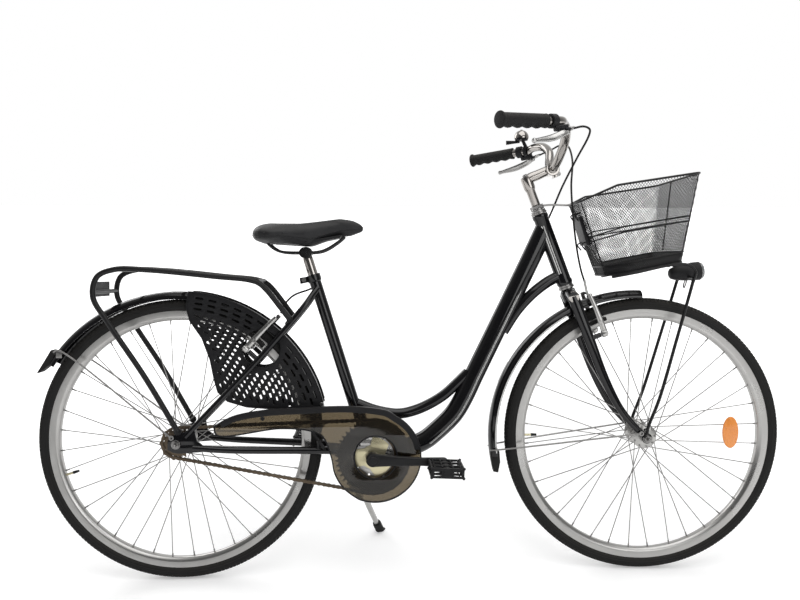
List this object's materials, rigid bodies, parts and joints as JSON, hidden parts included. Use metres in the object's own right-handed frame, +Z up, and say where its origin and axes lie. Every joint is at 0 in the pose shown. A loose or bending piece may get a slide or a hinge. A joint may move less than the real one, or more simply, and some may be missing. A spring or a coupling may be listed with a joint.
{
  "type": "bicycle",
  "caption": "Step-through city bicycle leaning on its side kickstand, with front basket, rear rack, mudguards and covered chain.",
  "frame": {"origin": "the middle of the whole bicycle's bounding box on the floor", "axes": "+X forwards along the bicycle, +Y to the rider's left, +Z up from the floor"},
  "size_m": [1.844, 0.629, 1.125],
  "materials": {
    "gloss_black": "gloss",
    "chrome": "polished",
    "alloy": "satin",
    "steel": "satin",
    "chain_steel": "satin",
    "satin_black": "satin",
    "black_plastic": "matt",
    "rubber": "matt",
    "tyre": "matt",
    "smoked_plastic": "gloss",
    "leatherette": "satin",
    "clear_lens": "clear",
    "amber": "gloss",
    "red": "gloss"
  },
  "bodies": {
    "frame": {"main_frame": "gloss_black", "lower_headset_cup": "steel", "upper_headset_cup": "steel", "rear_mudguard": "gloss_black", "rear_axle": "steel", "chain": "chain_steel", "chain_guard": "smoked_plastic", "coat_guard_right": "black_plastic", "coat_guard_left": "black_plastic", "rear_rack": "satin_black", "rear_reflector": "red", "rear_brake_cable": "rubber", "rear_brake_cable_upper": "rubber", "kickstand_bracket": "alloy"},
    "steering": {"fork": "gloss_black", "handlebar": "chrome", "stem": "chrome", "right_grip": "rubber", "left_grip": "rubber", "right_lever_bracket": "black_plastic", "left_lever_bracket": "black_plastic", "bell_base": "black_plastic", "bell_dome": "chrome", "basket": "satin_black", "basket_support_rods": "satin_black", "headset_locknut": "steel", "headlight_housing": "black_plastic", "headlight_lens": "clear_lens", "front_mudguard": "gloss_black", "front_axle": "steel", "front_brake_cable": "rubber"},
    "front_wheel": {"front_tyre": "tyre", "front_rim": "alloy", "front_hub": "alloy", "front_spokes_right": "steel", "front_spokes_left": "steel", "spoke_reflector": "amber"},
    "rear_wheel": {"rear_tyre": "tyre", "rear_rim": "alloy", "rear_hub": "alloy", "rear_spokes_right": "steel", "rear_spokes_left": "steel"},
    "freewheel": {"sprocket": "chain_steel"},
    "crankset": {"crank_spindle": "steel", "right_crank": "satin_black", "left_crank": "satin_black"},
    "right_pedal_body": {"right_pedal": "black_plastic"},
    "left_pedal_body": {"left_pedal": "black_plastic"},
    "right_lever": {"right_brake_lever": "alloy"},
    "left_lever": {"left_brake_lever": "alloy"},
    "bell_lever": {"bell_thumb_lever": "black_plastic"},
    "rear_arm_right": {"rear_brake_arm_right": "alloy"},
    "rear_arm_left": {"rear_brake_arm_left": "alloy"},
    "front_arm_right": {"front_brake_arm_right": "alloy"},
    "front_arm_left": {"front_brake_arm_left": "alloy"},
    "seat": {"saddle": "leatherette", "saddle_rails": "steel", "seat_post": "alloy"},
    "kickstand": {"kickstand_leg": "alloy", "kickstand_foot": "rubber"}
  },
  "joints": [
    {"name": "steering_turn", "type": "hinge", "parent": "frame", "child": "steering", "pos_m": [0.52659, -0.11822, 0.34239], "axis": [-0.3551, 0.1462, 0.9233], "range_deg": [-60, 60], "deforming": ["rear_brake_cable_upper"]},
    {"name": "front_wheel_spin", "type": "hinge", "parent": "steering", "child": "front_wheel", "pos_m": [0.57652, -0.12091, 0.34278], "axis": [0.0543, 0.9892, -0.1358], "continuous": true},
    {"name": "rear_wheel_spin", "type": "hinge", "parent": "frame", "child": "rear_wheel", "pos_m": [-0.57601, -0.11822, 0.34239], "axis": [0, 0.9877, -0.1564], "continuous": true},
    {"name": "crank_turn", "type": "hinge", "parent": "frame", "child": "crankset", "pos_m": [-0.10451, -0.12448, 0.30288], "axis": [0, 0.9877, -0.1564], "range_deg": [-50, 245]},
    {"name": "sprocket_turn", "type": "hinge", "parent": "frame", "child": "freewheel", "pos_m": [-0.57601, -0.16168, 0.34927], "axis": [0, 0.9877, -0.1564], "continuous": true},
    {"name": "right_pedal_spin", "type": "hinge", "parent": "crankset", "child": "right_pedal_body", "pos_m": [0.0653, -0.25611, 0.31562], "axis": [0, 0.9877, -0.1564], "continuous": true},
    {"name": "left_pedal_spin", "type": "hinge", "parent": "crankset", "child": "left_pedal_body", "pos_m": [-0.27432, 0.00715, 0.29014], "axis": [0, 0.9877, -0.1564], "continuous": true},
    {"name": "right_lever_pull", "type": "hinge", "parent": "steering", "child": "right_lever", "pos_m": [0.32236, -0.21938, 1.08493], "axis": [0.0006, -0.136, -0.9907], "range_deg": [0, 14], "stiffness_Nm_per_rad": 0.6},
    {"name": "left_lever_pull", "type": "hinge", "parent": "steering", "child": "left_lever", "pos_m": [0.34538, 0.20006, 1.02736], "axis": [-0.0006, 0.136, 0.9907], "range_deg": [0, 14], "stiffness_Nm_per_rad": 0.6},
    {"name": "rear_brake_right_swing", "type": "hinge", "parent": "frame", "child": "rear_arm_right", "pos_m": [-0.38201, -0.13095, 0.54649], "axis": [-0.7219, 0.1082, 0.6834], "range_deg": [0, 3.5]},
    {"name": "rear_brake_left_swing", "type": "hinge", "parent": "frame", "child": "rear_arm_left", "pos_m": [-0.38201, -0.04305, 0.53257], "axis": [0.7219, -0.1082, -0.6834], "range_deg": [0, 3.5]},
    {"name": "front_brake_right_swing", "type": "hinge", "parent": "steering", "child": "front_arm_right", "pos_m": [0.43049, -0.1251, 0.59259], "axis": [-0.9333, 0.0019, -0.3591], "range_deg": [0, 3.5]},
    {"name": "front_brake_left_swing", "type": "hinge", "parent": "steering", "child": "front_arm_left", "pos_m": [0.43549, -0.03409, 0.5801], "axis": [0.9333, -0.0019, 0.3591], "range_deg": [0, 3.5]},
    {"name": "bell_lever_push", "type": "hinge", "parent": "steering", "child": "bell_lever", "pos_m": [0.30655, 0.19259, 1.0753], "axis": [-0.0006, 0.136, 0.9907], "range_deg": [0, 25], "stiffness_Nm_per_rad": 0.05},
    {"name": "seat_height", "type": "slide", "parent": "frame", "child": "seat", "axis": [-0.2965, 0.1494, 0.9433], "range_m": [-0.03, 0.07]},
    {"name": "kickstand_fold", "type": "hinge", "parent": "frame", "child": "kickstand", "pos_m": [-0.16321, -0.10573, 0.26144], "axis": [0.1157, 0.8554, 0.5049], "range_deg": [0, 104]}
  ],
  "couplings": [
    {"joint": "sprocket_turn", "follows": "crank_turn", "ratio": 2.4444},
    {"joint": "rear_brake_right_swing", "follows": "right_lever_pull", "ratio": 0.25},
    {"joint": "rear_brake_left_swing", "follows": "right_lever_pull", "ratio": 0.25},
    {"joint": "front_brake_right_swing", "follows": "left_lever_pull", "ratio": 0.25},
    {"joint": "front_brake_left_swing", "follows": "left_lever_pull", "ratio": 0.25}
  ]
}
